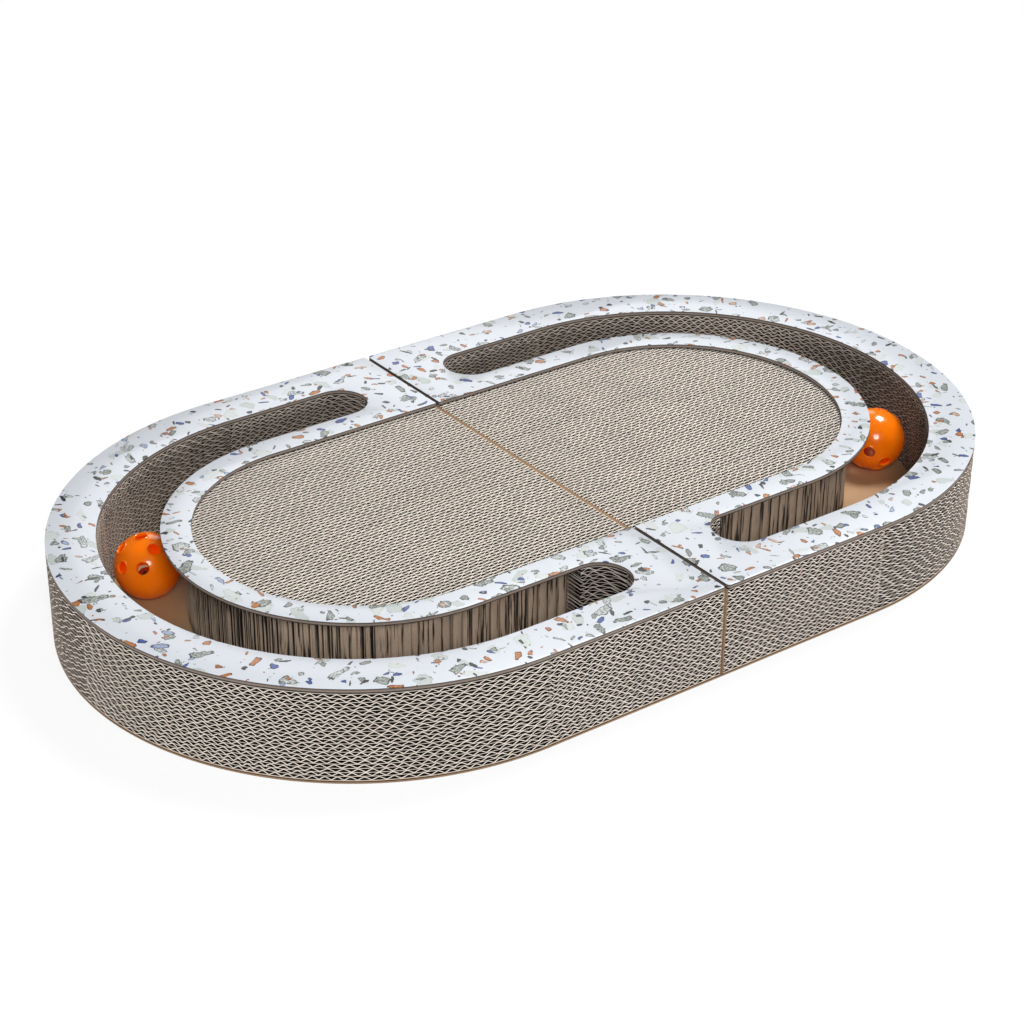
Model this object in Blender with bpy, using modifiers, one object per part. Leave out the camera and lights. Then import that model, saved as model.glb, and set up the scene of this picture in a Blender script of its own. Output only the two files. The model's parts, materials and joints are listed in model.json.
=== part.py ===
"""Cat scratcher with a ball track: two D-shaped corrugated halves, folded open into an oval.

X runs along the oval, the left half is at -X and the seam at X = 0. Y runs across it, with
the front wall at -Y. Z is up and the underside lies at Z = 0.
"""
import math

import bmesh
import bpy
from mathutils import Euler, Matrix, Vector

# Clearances
GLUE_GAP = 0.0003
RUNNING_GAP = 0.0005

# Outline of the oval
HALF_WIDTH = 0.190
STRAIGHT_LENGTH = 0.126
HEIGHT = 0.062

# Sheets
BASE_THICKNESS = 0.0018
BOARD_THICKNESS = 0.003
LEAF_THICKNESS = 0.0009

# Track, seen from above
WALL_WIDTH = 0.030
SLOT_WIDTH = 0.038
RING_WIDTH = 0.0185
PAD_LAP = 0.005
TRACK_END = 0.0345
CORNER_RADIUS = 0.003

# Grooves of the corrugated pieces: the pad's along its strips, the walls' between layers
GROOVE_WIDTH = 0.0022
PAD_GROOVE_COUNT = 12
PAD_GROOVE_DEPTH = 0.0036
WALL_GROOVE_COUNT = 2
WALL_GROOVE_DEPTH = 0.0025

# Fold
CREASE_WIDTH = 0.0003
FOLD_DEPTH = 0.0002

# Ball
BALL_RADIUS = 0.0208
BALL_WALL = 0.0014
HOLE_RADIUS = 0.0042
HOLE_COUNT = 5
HOLE_POLAR_DEGREES = 34.9

# Place along the track's arc, then tilt and heading of the upper pole and turn of the holes
LEFT_BALL_ANGLE = 140.7
LEFT_BALL_POSE = (37.8, -154.2, 49.0)
RIGHT_BALL_ANGLE = -20.7
RIGHT_BALL_POSE = (55.1, 32.9, 44.4)

# Bell
BELL_RADIUS = 0.0085
BELL_WALL = 0.0006
BELL_SLOT_WIDTH = 0.0016
BELL_SLOT_REACH = 0.0056
BELL_TILT_DEGREES = 60.0
PELLET_RADIUS = 0.0020

# Facets
ARC_STEP_DEGREES = 3.0
END_ARC_STEPS = 12
CORNER_STEPS = 4
BALL_SEGMENTS = 28
BALL_STEPS = 7
HOLE_SEGMENTS = 12
BELL_SEGMENTS = 20
BELL_STEPS = 5
MERGE_DISTANCE = 0.00002

# Sizes that follow
SEAM_LEAF = CREASE_WIDTH / 2
SEAM_BLOCK = SEAM_LEAF + LEAF_THICKNESS + GLUE_GAP
BLOCK_BOTTOM = BASE_THICKNESS + GLUE_GAP
BLOCK_TOP = HEIGHT - BOARD_THICKNESS - GLUE_GAP
WALL_RADIUS = HALF_WIDTH - WALL_WIDTH
RING_RADIUS = WALL_RADIUS - SLOT_WIDTH
OPENING_RADIUS = RING_RADIUS - RING_WIDTH
PAD_RADIUS = OPENING_RADIUS + PAD_LAP
END_RADIUS = SLOT_WIDTH / 2
END_CENTRE = TRACK_END + END_RADIUS
BALL_HEIGHT = BASE_THICKNESS + GLUE_GAP + BALL_RADIUS
TRACK_MIDDLE = (WALL_RADIUS + PAD_RADIUS) / 2
TRACK_OUTSIDE = WALL_RADIUS - RUNNING_GAP - BALL_RADIUS

SIDES = {"left": -1, "right": 1}
ROWS = {"front": -1, "rear": 1}


def clear_scene():
    """Remove every object that the scene holds."""
    for old in list(bpy.data.objects):
        bpy.data.objects.remove(old, do_unlink=True)


def new_collection(name, hidden=False):
    """Make a collection under the scene's own."""
    collection = bpy.data.collections.new(name)
    collection.hide_render = hidden
    bpy.context.scene.collection.children.link(collection)
    return collection


def new_material(name, colour, roughness, metallic=0.0):
    """Make a plain Principled material."""
    material = bpy.data.materials.new(name)
    material.use_nodes = True
    shader = material.node_tree.nodes["Principled BSDF"]
    shader.inputs["Base Color"].default_value = (*colour, 1.0)
    shader.inputs["Roughness"].default_value = roughness
    shader.inputs["Metallic"].default_value = metallic
    material.diffuse_color = (*colour, 1.0)
    return material


def arc(centre_u, centre_v, radius, start, end, steps=None):
    """Points on an arc about (centre_u, centre_v), angles in degrees."""
    count = steps or max(2, round(abs(end - start) / ARC_STEP_DEGREES))
    points = []
    for i in range(count + 1):
        angle = math.radians(start + (end - start) * i / count)
        points.append((centre_u + radius * math.cos(angle), centre_v + radius * math.sin(angle)))
    return points


def place(points, side, row=1):
    """Turn (distance from the seam, distance from the middle) into world (X, Y)."""
    return [(side * u, row * v) for u, v in points]


def link(thing, collection, parent=None):
    """Put an object in a collection and under a parent, where it already stands."""
    collection.objects.link(thing)
    if parent is not None:
        thing.parent = parent
        thing.matrix_parent_inverse = parent.matrix_world.inverted()


def add_empty(name, location, collection, parent=None):
    """Add an empty whose place is a joint's axis or a half's corner."""
    empty = bpy.data.objects.new(name, None)
    empty.empty_display_size = BALL_RADIUS
    empty.location = location
    link(empty, collection)
    bpy.context.view_layer.update()
    if parent is not None:
        empty.parent = parent
        empty.matrix_parent_inverse = parent.matrix_world.inverted()
        bpy.context.view_layer.update()
    return empty


def add_flat(name, outlines, low, high, material, collection, parent):
    """Extrude flat outlines from height low to height high into one closed mesh."""
    curve = bpy.data.curves.new(name + "_outline", "CURVE")
    curve.dimensions = "2D"
    curve.fill_mode = "BOTH"
    curve.extrude = (high - low) / 2
    for points in outlines:
        spline = curve.splines.new("POLY")
        spline.points.add(len(points) - 1)
        spline.use_cyclic_u = True
        for point, (x, y) in zip(spline.points, points):
            point.co = (x, y, 0.0, 1.0)
    guide = bpy.data.objects.new(name + "_outline", curve)
    guide.location = (0.0, 0.0, (low + high) / 2)
    collection.objects.link(guide)
    bpy.context.view_layer.update()
    evaluated = guide.evaluated_get(bpy.context.evaluated_depsgraph_get())
    mesh = bpy.data.meshes.new_from_object(evaluated)
    mesh.name = name
    shape = bmesh.new()
    shape.from_mesh(mesh)
    bmesh.ops.remove_doubles(shape, verts=shape.verts, dist=MERGE_DISTANCE)
    bmesh.ops.recalc_face_normals(shape, faces=shape.faces)
    shape.to_mesh(mesh)
    shape.free()
    mesh.materials.clear()
    mesh.materials.append(material)
    solid = bpy.data.objects.new(name, mesh)
    solid.matrix_world = guide.matrix_world.copy()
    bpy.data.objects.remove(guide, do_unlink=True)
    link(solid, collection, parent)
    return solid


def d_outline(start, radius):
    """Outline of a D: straight at the seam, round at its far end."""
    return [(start, -radius)] + arc(STRAIGHT_LENGTH, 0.0, radius, -90.0, 90.0) + [(start, radius)]


def leg_outline():
    """Straight wall with the foot that closes the track's end, on the positive side."""
    far = STRAIGHT_LENGTH - GLUE_GAP / 2
    pad_face = PAD_RADIUS + GLUE_GAP
    hollow = arc(END_CENTRE, WALL_RADIUS - END_RADIUS, END_RADIUS, 90.0, 270.0, END_ARC_STEPS)
    outline = [(SEAM_BLOCK, HALF_WIDTH), (far, HALF_WIDTH), (far, WALL_RADIUS)]
    outline += hollow
    outline += [(END_CENTRE, pad_face), (SEAM_BLOCK, pad_face)]
    return outline


def quarter_outline():
    """Quarter of the round wall, from the leg's end to the tip of the oval."""
    near = STRAIGHT_LENGTH + GLUE_GAP / 2
    half_gap = GLUE_GAP / 2
    outer = arc(STRAIGHT_LENGTH, 0.0, HALF_WIDTH, 90.0, 0.0)
    inner = arc(STRAIGHT_LENGTH, 0.0, WALL_RADIUS, 0.0, 90.0)
    outline = [(near, HALF_WIDTH)] + outer[1:-1] + [(STRAIGHT_LENGTH + HALF_WIDTH, half_gap)]
    outline += [(STRAIGHT_LENGTH + WALL_RADIUS, half_gap)] + inner[1:-1] + [(near, WALL_RADIUS)]
    return outline


def board_outlines():
    """Top board: a D with a notch for the pad, and the U-shaped slot of the track."""
    corner_u = SEAM_BLOCK + CORNER_RADIUS
    corner_v = HALF_WIDTH - CORNER_RADIUS
    outer = arc(corner_u, -corner_v, CORNER_RADIUS, 180.0, 270.0, CORNER_STEPS)
    outer += arc(STRAIGHT_LENGTH, 0.0, HALF_WIDTH, -90.0, 90.0)
    outer += arc(corner_u, corner_v, CORNER_RADIUS, 90.0, 180.0, CORNER_STEPS)
    outer += [(SEAM_BLOCK, OPENING_RADIUS)]
    outer += arc(STRAIGHT_LENGTH, 0.0, OPENING_RADIUS, 90.0, -90.0)
    outer += [(SEAM_BLOCK, -OPENING_RADIUS)]
    middle = WALL_RADIUS - END_RADIUS
    slot = arc(STRAIGHT_LENGTH, 0.0, WALL_RADIUS, -90.0, 90.0)
    slot += arc(END_CENTRE, middle, END_RADIUS, 90.0, 270.0, END_ARC_STEPS)
    slot += arc(STRAIGHT_LENGTH, 0.0, RING_RADIUS, 90.0, -90.0)
    slot += arc(END_CENTRE, -middle, END_RADIUS, 90.0, 270.0, END_ARC_STEPS)
    return [outer, slot]


def cutter_object(name, shape, collection):
    """Keep a cutting shape in the cutters' collection, out of sight."""
    mesh = bpy.data.meshes.new(name)
    shape.to_mesh(mesh)
    shape.free()
    cutter = bpy.data.objects.new(name, mesh)
    cutter.hide_render = True
    cutter.display_type = "WIRE"
    collection.objects.link(cutter)
    return cutter


def cut(target, cutter):
    """Take the cutter out of the target, and carry the cutter with it."""
    cutter.matrix_world = target.matrix_world.copy()
    cutter.parent = target
    cutter.matrix_parent_inverse = target.matrix_world.inverted()
    boolean = target.modifiers.new("openings", "BOOLEAN")
    boolean.operation = "DIFFERENCE"
    boolean.object = cutter


def pad_groove_cutter(name, collection):
    """Bars along the top of the pad, each longer than the pad."""
    shape = bmesh.new()
    spacing = 2 * PAD_RADIUS / PAD_GROOVE_COUNT
    pad_top = (BLOCK_TOP - BLOCK_BOTTOM) / 2
    length = 2 * (STRAIGHT_LENGTH + HALF_WIDTH)
    size = Matrix.Diagonal((length, GROOVE_WIDTH, 2 * PAD_GROOVE_DEPTH, 1.0))
    for i in range(PAD_GROOVE_COUNT):
        middle = Matrix.Translation(Vector((0.0, (i + 0.5) * spacing - PAD_RADIUS, pad_top)))
        bmesh.ops.create_cube(shape, size=1.0, matrix=middle @ size)
    return cutter_object(name, shape, collection)


def leg_groove_lines():
    """Lines inside and outside the leg's outer face, past both its ends."""
    ends = (-HALF_WIDTH, STRAIGHT_LENGTH + HALF_WIDTH)
    depth = WALL_GROOVE_DEPTH
    return [[[(u, HALF_WIDTH + shift) for u in ends] for shift in (-depth, depth)]]


def quarter_groove_lines():
    """Lines inside and outside both round faces of the quarter, past both its ends."""
    depth = WALL_GROOVE_DEPTH
    spare = 2 * ARC_STEP_DEGREES
    lines = []
    for radius in (HALF_WIDTH, WALL_RADIUS):
        pair = [arc(STRAIGHT_LENGTH, 0.0, radius + shift, -spare, 90.0 + spare) for shift in (-depth, depth)]
        lines.append(pair)
    return lines


def add_bar(shape, inside, outside, low, high):
    """Closed bar between two lines of points, from height low to height high."""
    sections = []
    for near, far in zip(inside, outside):
        corners = ((near, low), (far, low), (far, high), (near, high))
        sections.append([shape.verts.new((*point, height)) for point, height in corners])
    shape.faces.new(sections[0])
    shape.faces.new(sections[-1])
    for first, second in zip(sections, sections[1:]):
        for i in range(4):
            j = (i + 1) % 4
            shape.faces.new((first[i], first[j], second[j], second[i]))


def wall_groove_cutter(name, lines, side, row, collection):
    """Bars along a wall block's faces, at even heights between its layers."""
    shape = bmesh.new()
    height = BLOCK_TOP - BLOCK_BOTTOM
    for i in range(WALL_GROOVE_COUNT):
        level = height * (i + 1) / (WALL_GROOVE_COUNT + 1) - height / 2
        low, high = level - GROOVE_WIDTH / 2, level + GROOVE_WIDTH / 2
        for inside, outside in lines:
            add_bar(shape, place(inside, side, row), place(outside, side, row), low, high)
    bmesh.ops.recalc_face_normals(shape, faces=shape.faces)
    return cutter_object(name, shape, collection)


def build_half(name, side, collections, parent, materials):
    """Base, hinge leaf, walls, pad and printed board of one half."""
    collection, cutters = collections
    kraft = materials["kraft"]
    corrugated = materials["corrugated"]

    base = place(d_outline(SEAM_LEAF, HALF_WIDTH), side)
    add_flat(name + "_base_sheet", [base], 0.0, BASE_THICKNESS, kraft, collection, parent)

    leaf_end = SEAM_LEAF + LEAF_THICKNESS
    leaf = [(SEAM_LEAF, -HALF_WIDTH), (leaf_end, -HALF_WIDTH)]
    leaf += [(leaf_end, HALF_WIDTH), (SEAM_LEAF, HALF_WIDTH)]
    leaf = place(leaf, side)
    add_flat(name + "_hinge_leaf", [leaf], BLOCK_BOTTOM, BLOCK_TOP, kraft, collection, parent)

    blocks = {
        "leg_block": (leg_outline(), leg_groove_lines()),
        "arc_block": (quarter_outline(), quarter_groove_lines()),
    }
    for row_name, row in ROWS.items():
        for block_name, (outline, groove_lines) in blocks.items():
            wall_name = f"{name}_{row_name}_{block_name}"
            points = place(outline, side, row)
            wall = add_flat(wall_name, [points], BLOCK_BOTTOM, BLOCK_TOP, corrugated, collection, parent)
            cut(wall, wall_groove_cutter(wall_name + "_grooves", groove_lines, side, row, cutters))

    outline = place(d_outline(SEAM_BLOCK, PAD_RADIUS), side)
    pad_name = name + "_scratch_pad"
    pad = add_flat(pad_name, [outline], BLOCK_BOTTOM, BLOCK_TOP, materials["pad"], collection, parent)
    cut(pad, pad_groove_cutter(pad_name + "_grooves", cutters))

    board = [place(points, side) for points in board_outlines()]
    board_bottom = HEIGHT - BOARD_THICKNESS
    add_flat(name + "_top_board", board, board_bottom, HEIGHT, materials["print"], collection, parent)


def cup_mesh(name, radius, wall, steps, segments, material):
    """Turn a half sphere with a wall, open at its rim, which stops half a gap short."""
    inner = radius - wall
    rim = math.pi / 2 - math.asin(GLUE_GAP / 2 / inner)
    profile = bmesh.new()
    points = []
    for i in range(steps + 1):
        angle = rim * i / steps
        points.append((radius * math.sin(angle), radius * math.cos(angle)))
    for i in range(steps, -1, -1):
        angle = rim * i / steps
        points.append((inner * math.sin(angle), inner * math.cos(angle)))
    verts = [profile.verts.new((x, 0.0, z)) for x, z in points]
    for first, second in zip(verts, verts[1:]):
        profile.edges.new((first, second))
    mesh = bpy.data.meshes.new(name)
    profile.to_mesh(mesh)
    profile.free()
    mesh.materials.append(material)
    cup = bpy.data.objects.new(name, mesh)
    screw = cup.modifiers.new("turn", "SCREW")
    screw.steps = segments
    screw.render_steps = segments
    screw.use_merge_vertices = True
    screw.merge_threshold = MERGE_DISTANCE
    screw.use_smooth_shade = True
    return cup


def hole_cutter(name, collection):
    """Ring of round holes about the cup's pole."""
    shape = bmesh.new()
    for i in range(HOLE_COUNT):
        turn = Matrix.Rotation(2 * math.pi * i / HOLE_COUNT, 4, "Z")
        tilt = Matrix.Rotation(math.radians(HOLE_POLAR_DEGREES), 4, "Y")
        out = Matrix.Translation(Vector((0.0, 0.0, BALL_RADIUS)))
        bmesh.ops.create_cone(
            shape,
            cap_ends=True,
            segments=HOLE_SEGMENTS,
            radius1=HOLE_RADIUS,
            radius2=HOLE_RADIUS,
            depth=BALL_RADIUS,
            matrix=turn @ tilt @ out,
        )
    return cutter_object(name, shape, collection)


def build_ball(name, where, pose, collections, parent, materials):
    """Perforated ball of two moulded caps, rim to rim.

    The pose is the tilt and heading of the upper cap's pole and the turn of its holes.
    """
    collection, cutters = collections
    tilt, heading, phase = pose
    upright = Euler((0.0, math.radians(tilt), math.radians(heading))).to_matrix().to_4x4()
    twist = Matrix.Rotation(math.radians(phase), 4, "Z")
    turned_over = Matrix.Rotation(math.pi, 4, "X")
    for half, flip in (("upper", Matrix.Identity(4)), ("lower", turned_over)):
        cap_name = f"{name}_ball_cap_{half}"
        cap = cup_mesh(cap_name, BALL_RADIUS, BALL_WALL, BALL_STEPS, BALL_SEGMENTS, materials["orange"])
        cap.matrix_world = Matrix.Translation(where) @ upright @ twist @ flip
        link(cap, collection, parent)
        bpy.context.view_layer.update()
        cut(cap, hole_cutter(cap_name + "_holes", cutters))


def build_bell(name, where, heading, collections, parent, materials):
    """Small bell that lies in the bottom of the ball, with its pellet."""
    collection, cutters = collections
    steel = materials["steel"]
    lean = Euler((0.0, math.radians(BELL_TILT_DEGREES), math.radians(heading))).to_matrix().to_4x4()
    turned_over = Matrix.Rotation(math.pi, 4, "X")

    slotted = cup_mesh(name + "_bell_slotted_cup", BELL_RADIUS, BELL_WALL, BELL_STEPS, BELL_SEGMENTS, steel)
    slotted.matrix_world = Matrix.Translation(where) @ lean
    link(slotted, collection, parent)
    bpy.context.view_layer.update()
    for i in range(2):
        bar = bmesh.new()
        size = Matrix.Diagonal((2 * BELL_SLOT_REACH, BELL_SLOT_WIDTH, BELL_RADIUS, 1.0))
        up = Matrix.Translation(Vector((0.0, 0.0, BELL_RADIUS)))
        turn = Matrix.Rotation(i * math.pi / 2, 4, "Z")
        bmesh.ops.create_cube(bar, size=1.0, matrix=turn @ up @ size)
        cut(slotted, cutter_object(f"{name}_bell_slot_{i + 1}", bar, cutters))

    plain = cup_mesh(name + "_bell_plain_cup", BELL_RADIUS, BELL_WALL, BELL_STEPS, BELL_SEGMENTS, steel)
    plain.matrix_world = Matrix.Translation(where) @ lean @ turned_over
    link(plain, collection, parent)

    pellet_mesh = bpy.data.meshes.new(name + "_bell_pellet")
    shape = bmesh.new()
    bmesh.ops.create_icosphere(shape, subdivisions=2, radius=PELLET_RADIUS)
    shape.to_mesh(pellet_mesh)
    shape.free()
    pellet_mesh.shade_smooth()
    pellet_mesh.materials.append(steel)
    pellet = bpy.data.objects.new(name + "_bell_pellet", pellet_mesh)
    drop = BELL_RADIUS - BELL_WALL - GLUE_GAP - PELLET_RADIUS
    pellet.location = where - Vector((0.0, 0.0, drop))
    link(pellet, collection, parent)


def build_ball_and_bell(name, side, place_in_track, collections, half, materials):
    """Ball with its bell, each under an empty on the axis that it turns about."""
    collection = collections[0]
    angle, radius, pose = place_in_track
    centre = Vector((side * STRAIGHT_LENGTH, 0.0, 0.0))
    out = Vector((math.cos(math.radians(angle)), math.sin(math.radians(angle)), 0.0))
    where = centre + out * radius + Vector((0.0, 0.0, BALL_HEIGHT))
    track_axis = add_empty(name + "_ball_track_axis", centre, collection, half)
    roll_axis = add_empty(name + "_ball_roll_axis", where, collection, track_axis)
    bell_drop = BALL_RADIUS - BALL_WALL - GLUE_GAP - BELL_RADIUS
    bell_place = where - Vector((0.0, 0.0, bell_drop))
    build_bell(name, bell_place, pose[1], collections, track_axis, materials)
    build_ball(name, where, pose, collections, roll_axis, materials)


def main():
    clear_scene()
    collection = new_collection("cat_scratcher")
    cutters = new_collection("cutters", hidden=True)
    materials = {
        "kraft": new_material("kraft_board", (0.36, 0.23, 0.13), 0.85),
        "corrugated": new_material("corrugated_layers", (0.30, 0.24, 0.19), 0.9),
        "pad": new_material("corrugated_strips", (0.42, 0.36, 0.29), 0.9),
        "print": new_material("printed_board", (0.80, 0.82, 0.86), 0.5),
        "orange": new_material("orange_plastic", (0.86, 0.22, 0.01), 0.18),
        "steel": new_material("bell_steel", (0.55, 0.55, 0.56), 0.3, 1.0),
    }
    fold_axis = Vector((0.0, 0.0, -FOLD_DEPTH))
    left_half = add_empty("left_half", (0.0, 0.0, 0.0), collection)
    right_half = add_empty("right_half", fold_axis, collection, left_half)

    both = (collection, cutters)
    build_half("left", SIDES["left"], both, left_half, materials)
    build_half("right", SIDES["right"], both, right_half, materials)

    left_place = (LEFT_BALL_ANGLE, TRACK_MIDDLE, LEFT_BALL_POSE)
    build_ball_and_bell("left", SIDES["left"], left_place, both, left_half, materials)
    right_place = (RIGHT_BALL_ANGLE, TRACK_OUTSIDE, RIGHT_BALL_POSE)
    build_ball_and_bell("right", SIDES["right"], right_place, both, right_half, materials)


main()
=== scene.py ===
"""Looks of a folding cat scratcher with a ball track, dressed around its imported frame.

X runs along the oval, Y across it and Z up, in metres. The left half is at -X.
"""
import json
import math

import bmesh
import bpy
from bpy.props import FloatProperty, FloatVectorProperty, IntProperty, PointerProperty
from mathutils import Euler, Matrix, Vector
from mathutils.geometry import tessellate_polygon


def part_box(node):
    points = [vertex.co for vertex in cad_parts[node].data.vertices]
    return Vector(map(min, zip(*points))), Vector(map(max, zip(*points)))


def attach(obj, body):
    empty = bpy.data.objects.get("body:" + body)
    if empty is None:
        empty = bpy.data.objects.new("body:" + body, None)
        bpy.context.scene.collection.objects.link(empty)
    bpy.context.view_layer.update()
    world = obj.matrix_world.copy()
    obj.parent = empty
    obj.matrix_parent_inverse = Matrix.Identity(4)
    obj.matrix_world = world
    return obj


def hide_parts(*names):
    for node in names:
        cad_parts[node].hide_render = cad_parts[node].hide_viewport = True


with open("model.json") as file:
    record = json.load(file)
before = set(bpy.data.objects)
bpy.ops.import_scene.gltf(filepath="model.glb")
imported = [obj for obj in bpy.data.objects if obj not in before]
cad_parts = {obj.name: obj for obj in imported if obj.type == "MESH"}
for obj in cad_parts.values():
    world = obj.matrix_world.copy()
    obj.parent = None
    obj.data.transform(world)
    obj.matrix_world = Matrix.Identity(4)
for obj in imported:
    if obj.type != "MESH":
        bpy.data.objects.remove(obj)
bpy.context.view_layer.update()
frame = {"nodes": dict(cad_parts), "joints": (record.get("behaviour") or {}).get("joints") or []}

bl_info = {
    "name": "Cat Scratcher With Ball Track",
    "version": (1, 0, 0),
    "blender": (4, 5, 0),
    "location": "View3D > Sidebar > Scratcher",
    "description": "Dresses the frame of a folding cat scratcher in corrugated board, print and plastic",
    "category": "Object",
}

MM = 0.001
SIDES = {"left": -1, "right": 1}
ROWS = {"front": -1, "rear": 1}


# Sizes read from the frame
def radii_of(node, axis_u):
    """Radii of a node's vertices about the upright axis of its half's arc, past that axis."""
    offsets = [(abs(vertex.co.x) - axis_u, vertex.co.y) for vertex in frame["nodes"][node].data.vertices]
    return sorted({round(math.hypot(u, v), 4) for u, v in offsets if u > -MM / 10})


BASE_LOW, BASE_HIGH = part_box("left_base_sheet")
HALF_WIDTH = BASE_HIGH.y
STRAIGHT = -BASE_LOW.x - HALF_WIDTH
LEAF_LOW, LEAF_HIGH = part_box("left_hinge_leaf")
BLOCK_LOW, BLOCK_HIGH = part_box("left_front_leg_block")
BOARD_LOW, BOARD_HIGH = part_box("left_top_board")
SEAM_LEAF = -LEAF_HIGH.x
SEAM_BLOCK = -BLOCK_HIGH.x
GLUE_GAP = BLOCK_LOW.z - BASE_HIGH.z
PAD_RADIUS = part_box("left_scratch_pad")[1].y
OPENING_RADIUS, RING_RADIUS, WALL_RADIUS = radii_of("left_top_board", STRAIGHT)[:3]
END_RADIUS = (WALL_RADIUS - RING_RADIUS) / 2
TRACK_END = min(
    -vertex.co.x
    for vertex in frame["nodes"]["left_top_board"].data.vertices
    if RING_RADIUS + MM < abs(vertex.co.y) < WALL_RADIUS - MM
)

# Units of the settings
LENGTH = {"unit": "LENGTH", "subtype": "DISTANCE"}
ANGLE = {"unit": "ROTATION", "subtype": "ANGLE"}
COLOUR = {"subtype": "COLOR"}


# Settings that a user would change
class CorrugationSettings(bpy.types.PropertyGroup):
    """Corrugated board of the walls and the pads."""

    wall_layers: IntProperty(
        name="Wall layers", description="Sheets stacked in the height of the walls", default=21, min=2)
    pad_layers: IntProperty(
        name="Pad strips", description="Upright strips across a pad", default=76, min=2)
    flute_pitch: FloatProperty(
        name="Flute pitch", description="Length of one wave of the board", default=7.0 * MM, **LENGTH)
    wall_paper: FloatProperty(
        name="Wall paper", description="Thickness of the walls' fluted paper", default=0.44 * MM, **LENGTH)
    pad_paper: FloatProperty(
        name="Pad paper", description="Thickness of the pads' fluted paper", default=0.28 * MM, **LENGTH)
    ragged: FloatProperty(
        name="Ragged edge", description="How far the cut edges stray", default=0.22 * MM, **LENGTH)
    wall_edge: FloatVectorProperty(
        name="Wall edge", description="Colour of the walls' cut paper", default=(0.655, 0.59, 0.525),
        **COLOUR)
    # Painted shade: the walls' paper just inside their flutes
    wall_rim: FloatVectorProperty(
        name="Wall rim", description="Colour just inside the walls' flutes", default=(0.22, 0.17, 0.13),
        **COLOUR)
    pad_edge: FloatVectorProperty(
        name="Pad edge", description="Colour of the pads' cut paper", default=(0.89, 0.82, 0.715), **COLOUR)
    # Painted shade: the pads' paper just inside their flutes
    pad_rim: FloatVectorProperty(
        name="Pad rim", description="Colour just inside the pads' flutes", default=(0.20, 0.165, 0.135),
        **COLOUR)
    # Painted shade: deep inside a flute, where little light reaches
    flute: FloatVectorProperty(
        name="Flute", description="Colour deep inside a flute", default=(0.004, 0.002, 0.001), **COLOUR)
    face: FloatVectorProperty(
        name="Paper face", description="Colour of the open faces", default=(0.40, 0.308, 0.234), **COLOUR)
    kraft: FloatVectorProperty(
        name="Kraft board", description="Colour of the base and the hinge", default=(0.425, 0.262, 0.136),
        **COLOUR)
    kraft_edge: FloatVectorProperty(
        name="Kraft edge", description="Colour of the base's and the hinge's cut edges",
        default=(0.20, 0.130, 0.080), **COLOUR)


class PrintSettings(bpy.types.PropertyGroup):
    """Printed top boards."""

    ground: FloatVectorProperty(
        name="Ground", description="White between the chips", default=(0.485, 0.508, 0.545), **COLOUR)
    core: FloatVectorProperty(
        name="Board core", description="Grey board under the print", default=(0.16, 0.127, 0.107), **COLOUR)
    rounding: FloatProperty(
        name="Edge rounding", description="Radius of the board's edges", default=0.25 * MM, **LENGTH)


class BallSettings(bpy.types.PropertyGroup):
    """Perforated balls."""

    colour: FloatVectorProperty(
        name="Plastic", description="Colour of the ball", default=(0.95, 0.195, 0.002), **COLOUR)
    hole_radius: FloatProperty(
        name="Hole radius", description="Radius of a hole", default=4.2 * MM, **LENGTH)
    hole_count: IntProperty(name="Holes", description="Holes round the pole of a cap", default=5, min=3)
    hole_polar: FloatProperty(
        name="Hole angle", description="Angle of the holes from the pole", default=math.radians(34.9),
        **ANGLE)
    rim: FloatProperty(
        name="Rim", description="Radius of the raised rim round a hole", default=0.45 * MM, **LENGTH)
    wall: FloatProperty(
        name="Wall", description="Thickness of the ball's wall", default=1.4 * MM, **LENGTH)


class StageSettings(bpy.types.PropertyGroup):
    """Camera and light."""

    azimuth: FloatProperty(
        name="Azimuth", description="Camera's heading round the object", default=math.radians(-36.44),
        **ANGLE)
    elevation: FloatProperty(
        name="Elevation", description="Camera's height above the horizon", default=math.radians(28.83),
        **ANGLE)
    roll: FloatProperty(
        name="Roll", description="Turn about the line of sight", default=math.radians(0.51), **ANGLE)
    distance: FloatProperty(
        name="Distance", description="From the camera to its target", default=1.576, **LENGTH)
    target: FloatVectorProperty(
        name="Target", description="Point on the floor that the camera looks at", subtype="XYZ",
        unit="LENGTH", default=(0.0180, 0.0437, 0.0))
    lens: FloatProperty(name="Lens", description="Focal length in millimetres", default=83.7)
    above: FloatProperty(name="Above", description="Power of the light over the right end", default=62.0)
    behind: FloatProperty(
        name="Behind", description="Power of the light that glints on the print", default=10.0)
    front: FloatProperty(name="Front", description="Power of the light in front", default=43.0)
    camera: FloatProperty(
        name="By the camera", description="Power of the light by the camera", default=40.0)
    left: FloatProperty(name="Left", description="Power of the low light at the left", default=48.0)
    right: FloatProperty(name="Right", description="Power of the low light at the right", default=20.0)
    sky: FloatProperty(name="Sky", description="Strength of the white overhead", default=0.07)
    ground: FloatProperty(name="Ground", description="Strength of the white from below", default=0.66)


# Helpers for node trees
class Wire:
    """Output of a node, which sums and other nodes can follow."""

    def __init__(self, socket):
        self.socket = socket
        self.tree = socket.id_data

    def __getitem__(self, name):
        """Another output of the same node."""
        return Wire(self.socket.node.outputs[name])

    def maths(self, operation, *values):
        return add(self.tree, "ShaderNodeMath", self, *values, operation=operation)

    def vectors(self, operation, *values):
        return add(self.tree, "ShaderNodeVectorMath", self, *values, operation=operation)

    def remap(self, low, high, to_low=0.0, to_high=1.0):
        return add(self.tree, "ShaderNodeMapRange", self, low, high, to_low, to_high)

    def __add__(self, other):
        return self.maths("ADD", other)

    def __sub__(self, other):
        return self.maths("SUBTRACT", other)

    def __rsub__(self, other):
        return add(self.tree, "ShaderNodeMath", other, self, operation="SUBTRACT")

    def __mul__(self, other):
        return self.maths("MULTIPLY", other)

    def __truediv__(self, other):
        return self.maths("DIVIDE", other)

    def __rtruediv__(self, other):
        return add(self.tree, "ShaderNodeMath", other, self, operation="DIVIDE")


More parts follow.
